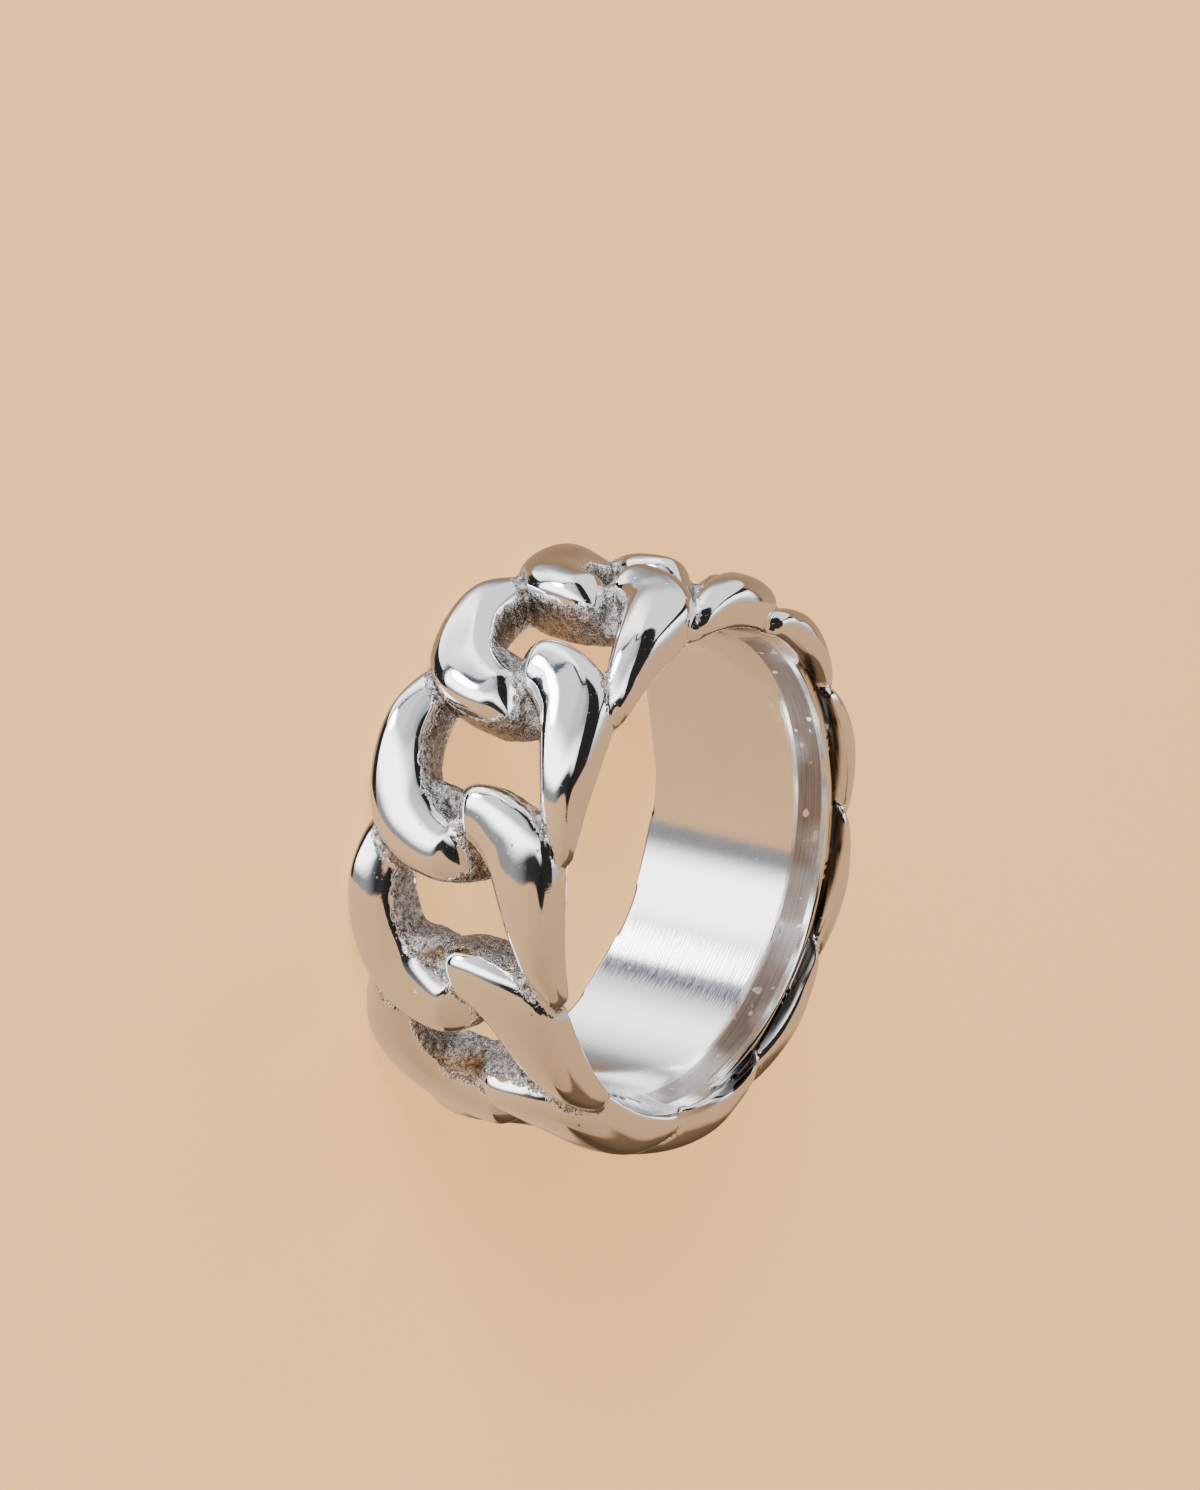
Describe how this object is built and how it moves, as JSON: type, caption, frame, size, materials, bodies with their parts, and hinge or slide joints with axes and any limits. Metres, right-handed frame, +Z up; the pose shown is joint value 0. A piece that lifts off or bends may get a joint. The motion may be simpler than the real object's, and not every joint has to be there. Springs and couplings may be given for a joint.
{
  "type": "chain link ring",
  "caption": "One-piece finger ring cast as a twisted curb chain bent into a band, with pierced links at the front, closed links at the back and a smooth rounded bore.",
  "frame": {"origin": "centre of the ring's box where it rests on the surface, under the middle of the bore", "axes": "+Z up along the bore, and -Y through the middle of the pierced front links"},
  "size_m": [0.0252, 0.0252, 0.0098],
  "materials": {
    "polished_metal": "mirror polished, with rough cast recesses between the links"
  },
  "bodies": {
    "root": {"chain_ring": "polished_metal"}
  },
  "joints": []
}
